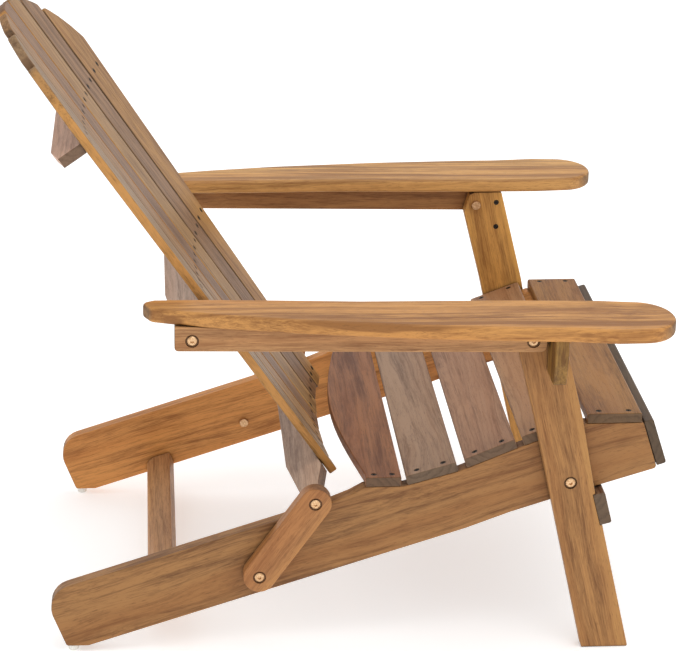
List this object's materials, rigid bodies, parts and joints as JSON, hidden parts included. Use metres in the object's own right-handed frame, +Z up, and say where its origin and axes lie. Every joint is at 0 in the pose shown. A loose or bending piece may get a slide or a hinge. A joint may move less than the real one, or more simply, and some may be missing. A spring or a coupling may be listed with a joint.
{
  "type": "folding adirondack chair",
  "caption": "Folding wooden adirondack chair: curved fan-shaped slat back, sloping slatted seat, wide rounded armrests and pivoting front legs.",
  "frame": {"origin": "on the floor, at the centre of the chair's footprint box", "axes": "the sitter faces -Y, left and right in the names are as seen from the front: left is -X and right is +X, the chair is symmetric about X = 0, +Z up"},
  "size_m": [0.792, 0.8974, 0.8468],
  "materials": {
    "rail_wood": "satin",
    "seat_wood": "satin",
    "leg_wood": "satin",
    "arm_wood": "satin",
    "link_wood": "satin",
    "back_wood": "satin",
    "glide_plastic": "matte",
    "washer_nylon": "matte",
    "screw_steel": "satin",
    "bolt_brass": "satin"
  },
  "bodies": {
    "seat_frame": {"side_rail_left": "rail_wood", "side_rail_right": "rail_wood", "rear_stretcher": "rail_wood", "glide_left": "glide_plastic", "glide_right": "glide_plastic", "seat_slat_1_rear": "seat_wood", "seat_slat_2": "seat_wood", "seat_slat_3": "seat_wood", "seat_slat_4": "seat_wood", "seat_slat_5_front": "seat_wood", "front_apron": "seat_wood", "seat_screws": "screw_steel", "apron_screws": "screw_steel", "stretcher_dowels": "rail_wood", "pivot_bolts_leg": "bolt_brass", "pivot_nuts_leg": "bolt_brass", "pivot_bolts_link_lower": "bolt_brass", "pivot_nuts_link_lower": "bolt_brass"},
    "front_legs": {"front_leg_left": "leg_wood", "front_leg_right": "leg_wood", "leg_stretcher": "leg_wood", "corbel_left": "leg_wood", "corbel_right": "leg_wood", "leg_screws": "screw_steel", "pivot_bolts_arm": "bolt_brass", "pivot_nuts_arm": "bolt_brass", "washers_leg": "washer_nylon"},
    "left_arm": {"arm_rail_left": "arm_wood", "armrest_left": "arm_wood", "arm_screws_left": "screw_steel", "arm_rear_bolt_left": "bolt_brass"},
    "right_arm": {"arm_rail_right": "arm_wood", "armrest_right": "arm_wood", "arm_screws_right": "screw_steel", "arm_rear_bolt_right": "bolt_brass"},
    "left_link": {"link_left": "link_wood", "link_washers_left": "washer_nylon"},
    "right_link": {"link_right": "link_wood", "link_washers_right": "washer_nylon"},
    "back_rest": {"back_slat_1": "back_wood", "back_slat_2": "back_wood", "back_slat_3": "back_wood", "back_slat_4": "back_wood", "back_slat_5": "back_wood", "back_slat_6": "back_wood", "back_slat_7": "back_wood", "crossrail_upper": "back_wood", "crossrail_middle": "back_wood", "crossrail_lower": "back_wood", "back_screws": "screw_steel", "pivot_bolts_link_upper": "bolt_brass", "pivot_nuts_link_upper": "bolt_brass"}
  },
  "joints": [
    {"name": "leg_fold", "type": "hinge", "parent": "seat_frame", "child": "front_legs", "pos_m": [0, -0.3155, 0.2485], "axis": [1, 0, 0], "range_deg": [0, 86]},
    {"name": "left_arm_pivot", "type": "hinge", "parent": "front_legs", "child": "left_arm", "pos_m": [-0.3, -0.2545, 0.4615], "axis": [1, 0, 0], "range_deg": [-67.2, 0]},
    {"name": "right_arm_pivot", "type": "hinge", "parent": "front_legs", "child": "right_arm", "pos_m": [0.3, -0.2545, 0.4615], "axis": [1, 0, 0], "range_deg": [-67.2, 0]},
    {"name": "left_link_pivot", "type": "hinge", "parent": "seat_frame", "child": "left_link", "pos_m": [-0.29, 0.1056, 0.1173], "axis": [1, 0, 0], "range_deg": [-19.3, 0]},
    {"name": "right_link_pivot", "type": "hinge", "parent": "seat_frame", "child": "right_link", "pos_m": [0.29, 0.1056, 0.1173], "axis": [1, 0, 0], "range_deg": [-19.3, 0]},
    {"name": "back_pivot", "type": "hinge", "parent": "left_link", "child": "back_rest", "pos_m": [0, 0.0297, 0.2242], "axis": [1, 0, 0], "range_deg": [0, 91.3]}
  ],
  "couplings": [
    {"joint": "left_arm_pivot", "follows": "leg_fold", "ratio": -0.77791},
    {"joint": "right_arm_pivot", "follows": "leg_fold", "ratio": -0.77791},
    {"joint": "left_link_pivot", "follows": "leg_fold", "ratio": -0.22093},
    {"joint": "right_link_pivot", "follows": "leg_fold", "ratio": -0.22093},
    {"joint": "back_pivot", "follows": "leg_fold", "ratio": 1.0581}
  ]
}
